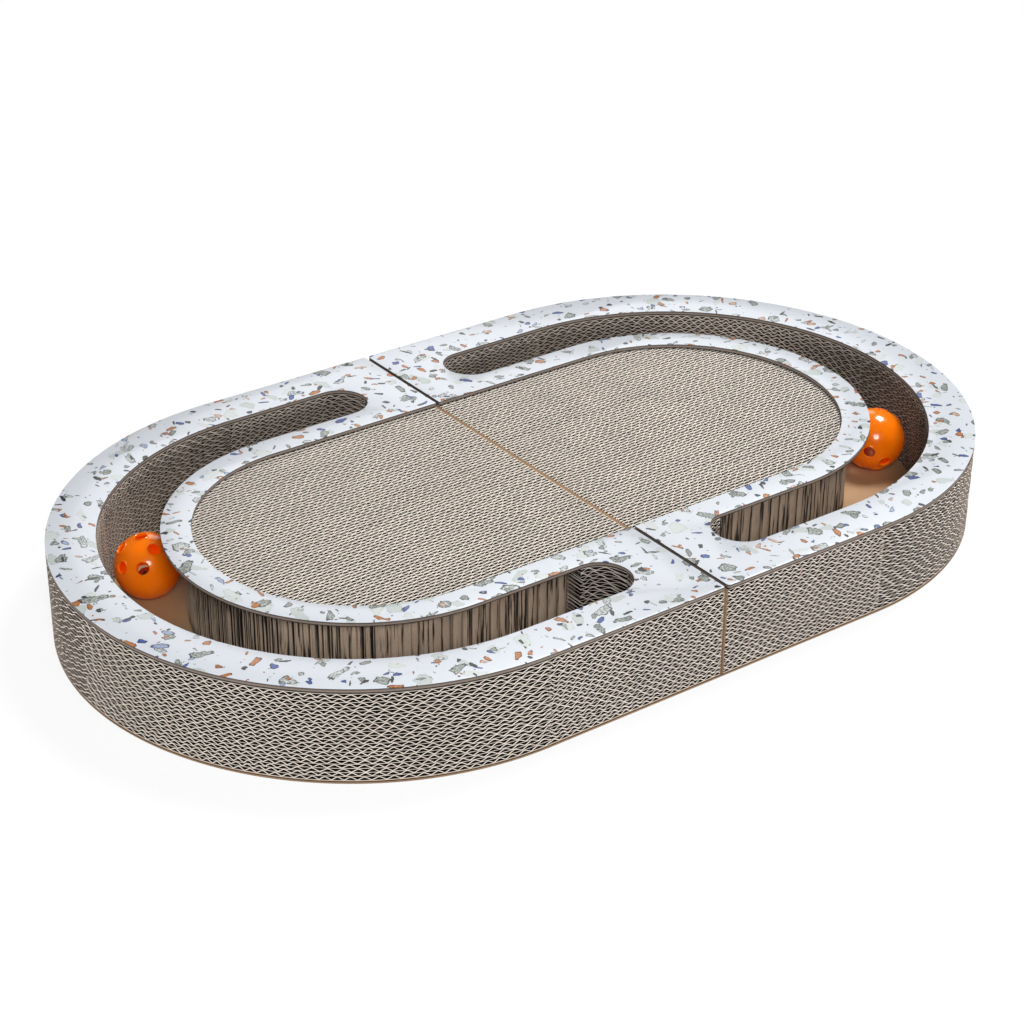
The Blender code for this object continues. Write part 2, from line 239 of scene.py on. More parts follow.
def feed(socket, value):
    """Link a socket to a wire, or set its own value."""
    if isinstance(value, Wire):
        value.tree.links.new(value.socket, socket)
    elif value is not None:
        if socket.type == "RGBA" and len(value) == 3:
            value = (*value, 1.0)
        socket.default_value = value


def feed_all(node, values):
    """Feed a node's inputs, whose names have underscores for spaces here."""
    for name, value in values.items():
        feed(node.inputs[name.replace("_", " ")], value)


def add(tree, kind, *values, **named):
    """Add a node, and return its first output.

    Values feed its inputs in order. Names in lower case are settings, and the others are inputs.
    """
    node = tree.nodes.new(kind)
    for name, value in named.items():
        if name[0].islower():
            setattr(node, name, value)
    for socket, value in zip([s for s in node.inputs if s.enabled], values):
        feed(socket, value)
    feed_all(node, {name: value for name, value in named.items() if name[0].isupper()})
    return Wire(next(output for output in node.outputs if output.enabled))


def use(tree, group, **values):
    """Place a node group, and return its first output."""
    return add(tree, tree.bl_idname.replace("NodeTree", "NodeGroup"), node_tree=group, **values)


def combine(tree, *parts):
    """Vector of three numbers."""
    return add(tree, "ShaderNodeCombineXYZ", *parts)


def split(vector):
    """X, Y and Z of a vector."""
    parts = add(vector.tree, "ShaderNodeSeparateXYZ", vector)
    return parts["X"], parts["Y"], parts["Z"]


def scale(vector, factor):
    """Vector or colour times a factor."""
    return add(factor.tree, "ShaderNodeVectorMath", vector, operation="SCALE", Scale=factor)


def mix(factor, first, second, kind="RGBA"):
    """Mix two colours, or two numbers."""
    return add(factor.tree, "ShaderNodeMix", factor, first, second, data_type=kind)


def noise(vector, *values):
    """Noise by its scale, detail and roughness."""
    return add(vector.tree, "ShaderNodeTexNoise", vector, *values)


def ramp(factor, stops, interpolation="LINEAR"):
    """Colour ramp through stops of a position and a colour."""
    made = add(factor.tree, "ShaderNodeValToRGB", factor)
    band = made.socket.node.color_ramp
    band.interpolation = interpolation
    while len(band.elements) > 1:
        band.elements.remove(band.elements[-1])
    for i, (position, colour) in enumerate(stops):
        stop = band.elements.new(position) if i else band.elements[0]
        stop.position = position
        stop.color = (*colour, 1.0)
    return made


SOCKET_KINDS = {int: "Int", float: "Float"}


def new_group(kind, name, inputs, **outputs):
    """Make a node group, and return it with its inner ends.

    An input has a number as its default, or else the kind of its socket.
    """
    tree = bpy.data.node_groups.new(name, kind + "NodeTree")
    for label, default in inputs.items():
        socket = SOCKET_KINDS.get(type(default), default)
        item = tree.interface.new_socket(
            label.replace("_", " "), in_out="INPUT", socket_type=f"NodeSocket{socket}")
        if socket != default:
            item.default_value = default
    for label, socket in outputs.items():
        tree.interface.new_socket(label, in_out="OUTPUT", socket_type=f"NodeSocket{socket}")
    given = Wire(tree.nodes.new("NodeGroupInput").outputs[0])
    return tree, given, tree.nodes.new("NodeGroupOutput").inputs


def shared(maker):
    """Let the maker of a node group run once, and hand out its group after that."""
    def group():
        return bpy.data.node_groups.get(maker.__name__) or maker()

    return group


# Shader effects shared by several materials
@shared
def paper_fibres():
    """Paper: clouds, fibres and specks, as a shade about 1 and a height."""
    tree, given, result = new_group(
        "Shader", "paper_fibres", dict(Vector="Vector", Clouds=0.1, Fibres=0.2, Grain=1400.0),
        Shade="Float", Height="Float")
    clouds = noise(given["Vector"], 38.0, 3.0, 0.55)
    stretched = add(tree, "ShaderNodeMapping", given["Vector"], None, (0.0, 0.0, 0.4), (1.0, 0.16, 0.5))
    fibres = noise(stretched, given["Grain"], 2.0, 0.7)
    specks = noise(given["Vector"], 420.0, 2.0, 0.8)
    dark = specks.remap(0.28, 0.36, -0.12, 0.0)
    shade = (clouds - 0.5) * given["Clouds"] + (fibres - 0.5) * given["Fibres"] + dark
    feed(result["Shade"], shade + 1.0)
    feed(result["Height"], fibres + specks * 0.4)
    return tree


# Directions of a chip's six sides, in degrees
CHIP_SIDES = ((0.0, 78.0, 118.0), (184.0, 236.0, 304.0))

# Distances from a chip's outline between which its dark rim fades in
CHIP_RIM = (1.2 * MM, 0.7 * MM)


@shared
def terrazzo_chips():
    """Terrazzo chips: one crooked polygon in some cells, turned and stretched at random."""
    tree, given, result = new_group(
        "Shader", "terrazzo_chips",
        dict(Vector="Vector", Sway="Vector", Cell=0.02, Radius=0.005, Stretch=1.6, Density=0.5, Seed=0.0),
        Mask="Float", Rim="Float", Chance="Float")
    sway = scale(given["Sway"], given["Radius"] * 0.5)
    shift = combine(tree, given["Seed"], given["Seed"] * 0.37)
    moved = given["Vector"].vectors("ADD", sway).vectors("ADD", shift)
    scaled = scale(moved.vectors("MULTIPLY", (1.0, 1.0, 0.0)), 1.0 / given["Cell"])
    cells = add(tree, "ShaderNodeTexVoronoi", scaled, voronoi_dimensions="2D", feature="F1", Scale=1.0,
                Randomness=0.92)
    place = cells["Position"]
    luck = add(tree, "ShaderNodeSeparateColor", cells["Color"])
    turned = add(tree, "ShaderNodeVectorRotate", scaled.vectors("SUBTRACT", place), rotation_type="Z_AXIS",
                 Angle=luck["Red"] * (2 * math.pi))
    stretch = luck["Green"].remap(0.0, 1.0, 1.0, given["Stretch"])
    size = luck["Blue"].remap(0.0, 1.0, 0.40, 1.0)
    per_size = given["Cell"] / (given["Radius"] * size)
    unit = turned.vectors("MULTIPLY", combine(tree, per_size / stretch, per_size * stretch))
    furthest = None
    for i, directions in enumerate(CHIP_SIDES):
        spot = place.vectors("ADD", (1.7 * i + 0.5, 2.3 * i, 0.0))
        chance = add(tree, "ShaderNodeTexWhiteNoise", spot, noise_dimensions="2D")
        room = chance["Color"].vectors("MULTIPLY_ADD", (0.60,) * 3, (0.45,) * 3)
        reaches = []
        for angle in map(math.radians, directions):
            reaches.append(unit.vectors("DOT_PRODUCT", (math.cos(angle), math.sin(angle), 0.0)))
        for part in split(combine(tree, *reaches).vectors("DIVIDE", room)):
            furthest = part if furthest is None else furthest.maths("MAXIMUM", part)
    lot = add(tree, "ShaderNodeTexWhiteNoise", place.vectors("ADD", (9.1, 4.7, 0.0)), noise_dimensions="2D")
    feed(result["Mask"], furthest.remap(1.03, 0.98) * lot.maths("LESS_THAN", given["Density"]))
    feed(result["Rim"], ((1.0 - furthest) * given["Radius"]).remap(*CHIP_RIM))
    feed(result["Chance"], lot / given["Density"])
    return tree


@shared
def handling_scuffs():
    """Handled plastic: fine scratches and greasy clouds, as a roughness and a height."""
    tree, given, result = new_group(
        "Shader", "handling_scuffs", dict(Vector="Vector", Roughness=0.2, Spread=0.1),
        Roughness="Float", Height="Float")
    clouds = noise(given["Vector"], 120.0, 3.0, 0.6)
    lines = None
    for turn in (0.4, 1.9, 2.7):
        stretched = add(tree, "ShaderNodeMapping", given["Vector"], None, (turn, 0.3, turn),
                        (1.0, 0.03, 1.0))
        line = noise(stretched, 2600.0, 0.0).remap(0.70, 0.76)
        lines = line if lines is None else lines.maths("MAXIMUM", line)
    spread = given["Spread"]
    feed(result["Roughness"], given["Roughness"] + (clouds - 0.5) * spread + lines * spread)
    feed(result["Height"], lines * -1.0)
    return tree


# Materials
def new_material(name, **values):
    """Make a material, and return it with its tree, its shader and its object coordinates."""
    material = bpy.data.materials.new(name)
    material.use_nodes = True
    tree = material.node_tree
    shader = tree.nodes["Principled BSDF"]
    feed_all(shader, values)
    return material, tree, shader, add(tree, "ShaderNodeTexCoord")["Object"]


def dress(shader, height, depth, strength, **values):
    """Feed a shader's inputs, and turn a height into its normal."""
    bump = add(height.tree, "ShaderNodeBump", Strength=strength, Distance=depth, Height=height)
    feed_all(shader, dict(values, Normal=bump))


def attribute(tree, name):
    """Value that the geometry tree left on a mesh."""
    return add(tree, "ShaderNodeAttribute", attribute_name=name)["Fac"]


# Shade of the paper by its depth below a cut edge, in mm: pale rim, dark flute, open face. The rim and the
# flute are painted shade, which stands in for the shade inside the flutes and under the top boards
DEPTH_SHADE_STOPS = {
    "corrugated_wall": ((0.0, "rim"), (0.10, "rim"), (0.6, "flute"), (6.0, "flute"), (11.0, "face")),
    "corrugated_pad": ((0.0, "rim"), (0.08, "rim"), (0.45, "flute"), (4.0, "flute"), (9.0, "face")),
}
DEPTH_RANGE = 20 * MM

# Walls, on the side that faces the track: painted shade of their cut edges beside the outer ones, as that
# side lies in shade
INNER_EDGE_SHADE = 0.84

# On the same side: how much of the open face's colour lies over the painted shade of the flutes, which
# makes it lighter there
INNER_FLUTE_LIGHTENING = 0.22

# Painted shade of a fold or a covered face beside an open one, where shade falls in the crevice, and the
# shade of a streak
PAINTED_CREVICE_SHADE = 0.04
STREAK_SHADE = 0.10


def paper_material(name, edge, rim):
    """Brown paper, pale where it is cut, with painted shade inside the flutes and in its crevices."""
    board = settings_of("corrugation")
    # The rim and flute colours are painted shade; the face is the paper's own colour
    colours = {"rim": rim, "flute": board.flute, "face": board.face}
    open_colour = tuple(board.face)
    material, tree, shader, place = new_material(name, Roughness=0.9, Specular_IOR_Level=0.2)
    fibres = use(tree, paper_fibres(), Vector=place, Clouds=0.3, Fibres=0.4, Grain=1400.0)
    low, high = attribute(tree, "from_low"), attribute(tree, "from_high")
    stops = [(millimetres * MM / DEPTH_RANGE, colours[kind]) for millimetres, kind in DEPTH_SHADE_STOPS[name]]
    depth = ramp(low.maths("MINIMUM", high) / DEPTH_RANGE, stops)
    # Painted shade in the narrow valleys of a pad's arched outer strip, and on faces that the next sheet
    # covers
    valley_shade = attribute(tree, "valley").remap(0.40, 0.70, 1.0, PAINTED_CREVICE_SHADE)
    drawn_out = add(tree, "ShaderNodeMapping", place, None, None, (1.0, 1.0, 0.05))
    streak = noise(drawn_out, 540.0, 2.0, 0.6).remap(0.53, 0.60, 1.0, STREAK_SHADE)
    covered_shade = attribute(tree, "covered").remap(0.45, 0.85, 1.0, PAINTED_CREVICE_SHADE)
    near_top = high.remap(2.0 * MM, 4.0 * MM, 1.0, 0.0)
    shade_and_streaks = valley_shade * streak * covered_shade.maths("MAXIMUM", near_top)
    inwards = low.maths("LESS_THAN", high)
    face = scale(mix(inwards * INNER_FLUTE_LIGHTENING, depth, open_colour), shade_and_streaks)
    # Cut edges: on a pad, more than 3 mm below the top they take the open face's colour as painted shade on
    # the strips' ends; on a wall, the track side gets painted shade
    if name == "corrugated_pad":
        edge_with_painted_shade = mix(high.remap(0.3 * MM, 3.0 * MM), tuple(edge), open_colour)
    else:
        edge_with_painted_shade = scale(tuple(edge), inwards.remap(0.0, 1.0, 1.0, INNER_EDGE_SHADE))
    paper = mix(attribute(tree, "cut_edge"), face, edge_with_painted_shade)
    dress(shader, fibres["Height"], 0.06 * MM, 0.6, Base_Color=scale(paper, fibres["Shade"]))
    return material


def kraft_material(colour):
    """Smooth brown kraft board with a slight sheen."""
    material, tree, shader, place = new_material("kraft_face", Roughness=0.45, Specular_IOR_Level=0.4)
    fibres = use(tree, paper_fibres(), Vector=place, Clouds=0.28, Fibres=0.22, Grain=900.0)
    dress(shader, fibres["Height"], 0.04 * MM, 0.5, Base_Color=scale(colour, fibres["Shade"]),
          Roughness=fibres["Height"].remap(0.4, 1.0, 0.36, 0.56))
    return material


# Shades of the plies seen at a cut edge, by the share of the sheet's height. The grey board's dark bottom
# plies are painted shade of the gap over the walls
BOARD_PLIES = ((0.0, 0.06), (0.14, 0.10), (0.24, 0.9), (0.34, 1.15), (0.48, 1.05), (0.62, 0.75),
               (0.76, 0.35), (0.88, 0.16), (1.0, 0.10))
KRAFT_PLIES = ((0.0, 0.9), (0.45, 1.15), (0.62, 0.8), (0.74, 0.25), (0.85, 0.10), (1.0, 0.06))
# The leaf's plies run across its width from the seam, dark at the seam as painted shade of the gap between
# the leaves
LEAF_PLIES = ((0.0, 0.15), (0.25, 0.9), (0.6, 1.2), (0.85, 0.8), (1.0, 0.3))


def ply_material(name, colour, low, high, plies, axis="Z"):
    """Board seen at its cut edge, in plies between two distances along an axis."""
    material, tree, shader, place = new_material(name, Roughness=0.85, Specular_IOR_Level=0.25)
    fibres = use(tree, paper_fibres(), Vector=place, Clouds=0.3, Fibres=0.45, Grain=1200.0)
    share = add(tree, "ShaderNodeSeparateXYZ", place)[axis].maths("ABSOLUTE").remap(low, high)
    stops = [(position, [channel * shade for channel in colour]) for position, shade in plies]
    dress(shader, fibres["Height"], 0.08 * MM, 0.6, Base_Color=scale(ramp(share, stops), fibres["Shade"]))
    return material


SAGE = (0.44, 0.47, 0.455)
MIST = (0.37, 0.405, 0.395)
GREY = (0.16, 0.174, 0.16)
STONE = (0.235, 0.25, 0.245)
CHARCOAL = (0.028, 0.031, 0.032)
RUST = (0.31, 0.115, 0.034)
PEACH = (0.40, 0.25, 0.175)
BLUE = (0.038, 0.066, 0.21)
LILAC = (0.20, 0.245, 0.35)

# Layers of chips, lowest first: cell and radius in mm, stretch, share of cells filled, seed,
# shade of the rim, speckle, and colours with the share of chips from which each applies
CHIP_LAYERS = (
    (19.0, 7.6, 1.70, 0.50, 3.1, 0.85, 0.06, ((0.0, SAGE), (0.6, MIST))),
    (21.0, 6.4, 1.60, 0.68, 8.2, 0.10, 1.6, ((0.0, GREY), (0.65, STONE))),
    (15.0, 4.0, 1.60, 0.80, 5.3, 0.22, 0.6, ((0.0, RUST), (0.30, PEACH), (0.39, BLUE), (0.56, LILAC),
                                            (0.62, GREY))),
    (10.0, 2.8, 2.20, 0.62, 4.4, 0.35, 0.5, ((0.0, CHARCOAL), (0.46, STONE), (0.62, MIST), (0.73, RUST),
                                            (0.87, BLUE))),
    (6.5, 1.0, 1.70, 0.26, 6.6, 0.8, 0.2, ((0.0, CHARCOAL), (0.4, STONE), (0.75, RUST), (0.88, LILAC))),
)


def print_material(ground):
    """White print with chips in greys, orange, blue and sage, under a satin varnish."""
    material, tree, shader, place = new_material(
        "terrazzo_print", Roughness=0.38, Specular_IOR_Level=0.45, Coat_Weight=0.15)
    fibres = use(tree, paper_fibres(), Vector=place, Clouds=0.03, Fibres=0.03, Grain=700.0)
    colour = scale(ground, fibres["Shade"])
    sway = noise(place, 330.0, 2.0, 0.6)["Color"].vectors("SUBTRACT", (0.5, 0.5, 0.5))
    speckles = noise(place, 900.0, 3.0, 0.75)
    for cell, radius, stretch, share, seed, rim_shade, speckle, colours in CHIP_LAYERS:
        chips = use(tree, terrazzo_chips(), Vector=place, Sway=sway, Cell=cell * MM, Radius=radius * MM,
                    Stretch=stretch, Density=share, Seed=seed)
        grain = speckles.remap(0.42, 0.66, 1.0 - speckle / 4, 1.0 + speckle)
        rim = chips["Rim"].remap(0.0, 1.0, 1.0, rim_shade)
        body = scale(ramp(chips["Chance"], colours, "CONSTANT"), grain * rim)
        colour = mix(chips["Mask"], colour, body)
    dress(shader, fibres["Height"], 0.02 * MM, 0.25, Base_Color=colour)
    return material


# Painted glow on the plastic, an emission that stands in for light coming through it, on its outside and
# its inside
OUTER_PAINTED_GLOW = (0.045, 0.002, 0.0)
INNER_PAINTED_GLOW = (0.14, 0.008, 0.0)


def plastic_material(colour):
    """Glossy moulded plastic with a painted glow, most of all inside, that stands in for light shining
    through it.
    """
    material, tree, shader, place = new_material(
        "moulded_plastic", Roughness=0.2, Specular_IOR_Level=0.4, Subsurface_Weight=0.3,
        Subsurface_Scale=3.0 * MM, Subsurface_Radius=(1.0, 0.35, 0.08), Coat_Weight=0.2,
        Coat_Roughness=0.06, Emission_Strength=1.0)
    scuffs = use(tree, handling_scuffs(), Vector=place, Roughness=0.17, Spread=0.12)
    shade = noise(place, 60.0, 2.0, 0.5).remap(0.3, 0.7, 0.94, 1.06)
    # Painted glow: the plastic emits light, more inside the ball
    glow = mix(attribute(tree, "inside"), OUTER_PAINTED_GLOW, INNER_PAINTED_GLOW)
    dress(shader, scuffs["Height"], 0.01 * MM, 0.4, Base_Color=scale(colour, shade),
          Roughness=scuffs["Roughness"], Emission_Color=glow)
    return material


# Nickel tinted orange, plain and tarnished, as painted reflection of the orange light inside the ball
NICKEL_IN_ORANGE_LIGHT = (0.36, 0.20, 0.095)
TARNISHED_NICKEL_IN_ORANGE_LIGHT = (0.26, 0.13, 0.06)


def bell_material():
    """Bright nickel plating, a little tarnished, with its colours tinted orange as painted reflection of
    the light inside the ball.
    """
    material, tree, shader, place = new_material("bell_nickel", Roughness=0.25, Metallic=1.0)
    scuffs = use(tree, handling_scuffs(), Vector=place, Roughness=0.50, Spread=0.2)
    tarnish = noise(place, 260.0, 4.0, 0.6).remap(0.45, 0.75)
    dress(shader, scuffs["Height"], 0.01 * MM, 0.4, Base_Color=mix(tarnish, NICKEL_IN_ORANGE_LIGHT, TARNISHED_NICKEL_IN_ORANGE_LIGHT),
          Roughness=scuffs["Roughness"])
    return material


def settings_of(name):
    """Settings group of the scene."""
    return getattr(bpy.context.scene, "scratcher_" + name)


def finish_of(name):
    """Material by name, built at its first use."""
    board, printed, ball = settings_of("corrugation"), settings_of("print"), settings_of("ball")
    kraft_edge = tuple(board.kraft_edge)
    makers = {
        "corrugated_wall": lambda: paper_material(name, board.wall_edge, board.wall_rim),
        "corrugated_pad": lambda: paper_material(name, board.pad_edge, board.pad_rim),
        "kraft_face": lambda: kraft_material(tuple(board.kraft)),
        "kraft_edge": lambda: ply_material(name, kraft_edge, BASE_LOW.z, BASE_HIGH.z, KRAFT_PLIES),
        "leaf_edge": lambda: ply_material(name, kraft_edge, SEAM_LEAF, -LEAF_LOW.x, LEAF_PLIES, axis="X"),
        "grey_board_edge": lambda: ply_material(
            name, tuple(printed.core), BOARD_LOW.z, BOARD_HIGH.z, BOARD_PLIES),
        "terrazzo_print": lambda: print_material(tuple(printed.ground)),
        "moulded_plastic": lambda: plastic_material(tuple(ball.colour)),
        "bell_nickel": bell_material,
    }
    return bpy.data.materials.get(name) or makers[name]()


# Geometry trees of the corrugated board
STEPS_PER_WAVE = 8.0
WALL_LINER_STEP = 2 * MM
PAD_LINER_STEP = 4 * MM
WELD = 0.002 * MM
CLEARANCE = 0.02 * MM

# Room between a wave and its liners beside the paper, and the least slope of a pad's stepped edge
WAVE_ROOM = 0.05
LEAST_SLOPE = 0.15

# Thickness of a liner beside the fluted paper: in the walls, and in the pads with their glued pairs
WALL_LINER = 0.6
PAD_LINER = 2.2

# Waves: how far the phase may stray in waves, how fast from sheet to sheet, its steady shift from
# sheet to sheet, and how pointed the waves are
PHASE_RANGE = 3.5
PHASE_STEP = 0.32
PHASE_LEAN = 0.17
SHARPNESS = 0.93


def position_in(tree):
    """X, Y and Z of each point of the geometry."""
    return split(add(tree, "GeometryNodeInputPosition"))


def store(geometry, name, value, domain="POINT"):
    """Store a value on the geometry under a name."""
    return add(geometry.tree, "GeometryNodeStoreNamedAttribute", geometry, None, name, value,
               data_type="FLOAT", domain=domain)


def join(*parts):
    """Join geometries."""
    joined = add(parts[0].tree, "GeometryNodeJoinGeometry")
    for part in parts:
        feed(joined.socket.node.inputs[0], part)
    return joined


@shared
def bent_sheets():
    """Pile of bent sheets: along X in steps, from Low to High along Y, stacked along Z.

    A sheet is cut off at Stop along X, which may follow the height of its waves. The next sheet
    leaves the length Bared of its face open.
    """
    tree, given, result = new_group(
        "Geometry", "bent_sheets",
        dict(Sheets=2, Spacing=0.003, First=0.0, Start=0.0, End=0.1, Step=0.001, Pitch=0.007, Wave=0.002,
             Paper=0.0003, Low=0.0, High=0.03, Stop=10.0, Bared=1000.0, Ragged=0.0, Arched=0.5, Seed=0),
        Geometry="Geometry")
    low, stop, paper = given["Low"], given["Stop"], given["Paper"]
    pile = add(tree, "GeometryNodeMeshLine", mode="OFFSET", Count=given["Sheets"],
               Start_Location=combine(tree, 0.0, 0.0, given["First"]),
               Offset=combine(tree, 0.0, 0.0, given["Spacing"]))
    length = given["End"] - given["Start"]
    columns = (length / given["Step"]).maths("CEIL") + 1.0
    grid = add(tree, "GeometryNodeMeshGrid", length, 1.0, columns, 2)
    middle = (given["Start"] + given["End"]) * 0.5
    placed = add(tree, "GeometryNodeTransform", Geometry=grid, Translation=combine(tree, middle, 0.5, 0.0))
    copies = add(tree, "GeometryNodeInstanceOnPoints", Points=pile, Instance=placed)
    sheets = add(tree, "GeometryNodeRealizeInstances", copies)

    along, across, height = position_in(tree)
    number = ((height - given["First"]) / given["Spacing"]).maths("ROUND")
    spot = combine(tree, along * 9.0, number * PHASE_STEP, given["Seed"])
    lean = noise(spot, 1.0, 1.0) * PHASE_RANGE + number * PHASE_LEAN
    waves = along / given["Pitch"] + lean
    round_wave = (waves * (2 * math.pi)).maths("SINE")
    smooth_wave = (round_wave * SHARPNESS).maths("ARCSINE") / math.asin(SHARPNESS)
    arch = (waves * math.pi).maths("SINE").maths("ABSOLUTE").maths("POWER", 0.5) * 2.0 - 1.0
    last = number.maths("GREATER_THAN", given["Sheets"] - given["Arched"])
    bend = mix(last, smooth_wave, arch, "FLOAT")
    valley = last * bend.remap(1.0, -1.0)
    level = height + bend * (given["Wave"] * 0.5)
    stray = add(tree, "FunctionNodeRandomValue", given["Ragged"] * -1.0, 0.0, number, given["Seed"] + 7.0,
                data_type="FLOAT")
    top = (given["High"] + stray).maths("MAXIMUM", low)
    reach = top - low
    from_low = across * reach
    marked = store(store(sheets, "from_low", from_low), "from_high", reach - from_low)
    # The valley mark becomes painted shade in the paper's shader
    marked = store(marked, "valley", valley)
    bent = add(tree, "GeometryNodeSetPosition", Geometry=marked,
               Position=combine(tree, along, across, level))
    kept = add(tree, "GeometryNodeDeleteGeometry", domain="POINT", Geometry=bent,
               Selection=along.maths("GREATER_THAN", stop + given["Step"]))
    outermost = last.maths("MAXIMUM", number.maths("LESS_THAN", 0.5))
    # How far the face is covered, which the paper's shader turns into painted shade
    covered = ((stop - along) / given["Bared"]).maths("MAXIMUM", 0.0) * (1.0 - outermost)
    cut_to = combine(tree, along.maths("MINIMUM", stop), mix(across, low, top, "FLOAT"), height)
    cut = add(tree, "GeometryNodeSetPosition", Geometry=store(kept, "covered", covered), Position=cut_to)

    thick = add(tree, "GeometryNodeExtrudeMesh", mode="FACES", Mesh=cut, Offset_Scale=paper,
                Individual=False)
    marked = store(thick, "cut_edge", thick["Side"], domain="FACE")
    both = join(add(tree, "GeometryNodeFlipFaces", cut), marked)
    feed(result["Geometry"], add(tree, "GeometryNodeMergeByDistance", Geometry=both, Distance=WELD))
    return tree


BOARD_INPUTS = dict(Layers=21, Bottom=0.0, Top=0.06, Pitch=0.007, Paper=0.0003, Ragged=0.0, Seed=0,
                    Material="Material")


def pile_of_board(given, low_level, high_level, start, end, low, high, closed=False, **limits):
    """Liners and fluted sheets of a pile of board, as two uses of the sheet group."""
    count, paper, pitch = given["Layers"], given["Paper"], given["Pitch"]
    liner = paper * (WALL_LINER if closed else PAD_LINER)
    if closed:
        high_level = high_level - liner
    spacing = (high_level - low_level) / count
    clear = paper * WAVE_ROOM
    wave = spacing - (liner + paper + clear * 2.0)
    common = dict(Spacing=spacing, Start=start, End=end, Low=low, High=high, Pitch=pitch,
                  Ragged=given["Ragged"], Seed=given["Seed"], **limits)
    liners = use(given.tree, bent_sheets(), Sheets=count + 1.0 if closed else count, First=low_level,
                 Wave=0.0, Paper=liner, Step=WALL_LINER_STEP if closed else PAD_LINER_STEP, **common)
    flutes = use(given.tree, bent_sheets(), Sheets=count, First=low_level + liner + clear + wave * 0.5,
                 Wave=wave, Paper=paper, Step=pitch / STEPS_PER_WAVE, **common)
    return liners, flutes


def close_tree(given, result, parts, **marks):
    """Join the parts, mark them, realize them and give them their material."""
    whole = join(*parts)
    for name, value in marks.items():
        whole = store(whole, name, value)
    real = add(given.tree, "GeometryNodeRealizeInstances", whole)
    coated = add(given.tree, "GeometryNodeSetMaterial", Geometry=real, Material=given["Material"])
    feed(result["Geometry"], coated)
    return given.tree


def half_chord(radius, offset):
    """Half chord of a circle at an offset from its middle, 0 outside it."""
    return (radius * radius - offset * offset).maths("MAXIMUM", 0.0).maths("SQRT")


@shared
def leg_block():
    """Straight wall with the foot that closes the track's end."""
    tree, given, result = new_group(
        "Geometry", "leg_block",
        dict(BOARD_INPUTS, Near=0.0, Far=0.1, Outer=0.19, Inner=0.16, Pad_Face=0.11, End_Radius=0.019,
             Track_End=0.03),
        Geometry="Geometry")
    x, _, _ = position_in(tree)
    bottom, top, end_radius = given["Bottom"], given["Top"], given["End Radius"]
    centre = given["Track End"] + end_radius
    middle = given["Inner"] - end_radius
    bulge = half_chord(end_radius, (centre - x).maths("MAXIMUM", 0.0))
    wall = pile_of_board(given, bottom, top, given["Near"], given["Far"], middle + bulge + CLEARANCE,
                         given["Outer"], closed=True)
    foot = pile_of_board(given, bottom, top, given["Near"], centre, given["Pad Face"],
                         middle - bulge - CLEARANCE, closed=True)
    return close_tree(given, result, wall + foot)


@shared
def quarter_block():
    """Quarter of the round wall, its flutes along Y and its ends at 45 degrees."""
    tree, given, result = new_group(
        "Geometry", "quarter_block", dict(BOARD_INPUTS, Outer=0.19, Inner=0.16, Cut=0.0002),
        Geometry="Geometry")
    x, _, _ = position_in(tree)
    outer, cut = given["Outer"], given["Cut"]
    low = half_chord(given["Inner"], x).maths("MAXIMUM", x.maths("ABSOLUTE") + cut)
    end = ((outer * outer * 2.0 - cut * cut).maths("SQRT") - cut) * 0.5
    parts = pile_of_board(given, given["Bottom"], given["Top"], end * -1.0, end, low, half_chord(outer, x),
                          closed=True)
    return close_tree(given, result, parts)


@shared
def pad_strips():
    """Pad of upright strips: the pile lies along Y of the half, and the flutes stand up."""
    tree, given, result = new_group(
        "Geometry", "pad_strips", dict(BOARD_INPUTS, Near=0.0, Straight=0.126, Radius=0.108),
        Geometry="Geometry")
    _, _, z = position_in(tree)
    radius, straight = given["Radius"], given["Straight"]
    chord = half_chord(radius, z)
    slope = z.maths("ABSOLUTE") / chord.maths("MAXIMUM", MM)
    bared = radius * 2.0 / given["Layers"] * slope.maths("MAXIMUM", LEAST_SLOPE)
    parts = pile_of_board(given, radius * -1.0, radius, given["Near"], straight + radius, given["Bottom"],
                          given["Top"], Stop=straight + chord, Bared=bared, Arched=1.5)
    return close_tree(given, result, parts)


# Perforated caps: sides of a hole and of its rim, and beside the wall, the length of the drill and
# the depth below which the plastic counts as inside
HOLE_SIDES = 40
RIM_SIDES = 10
DRILL_LENGTH = 6.0
INNER_SIDE = 0.8


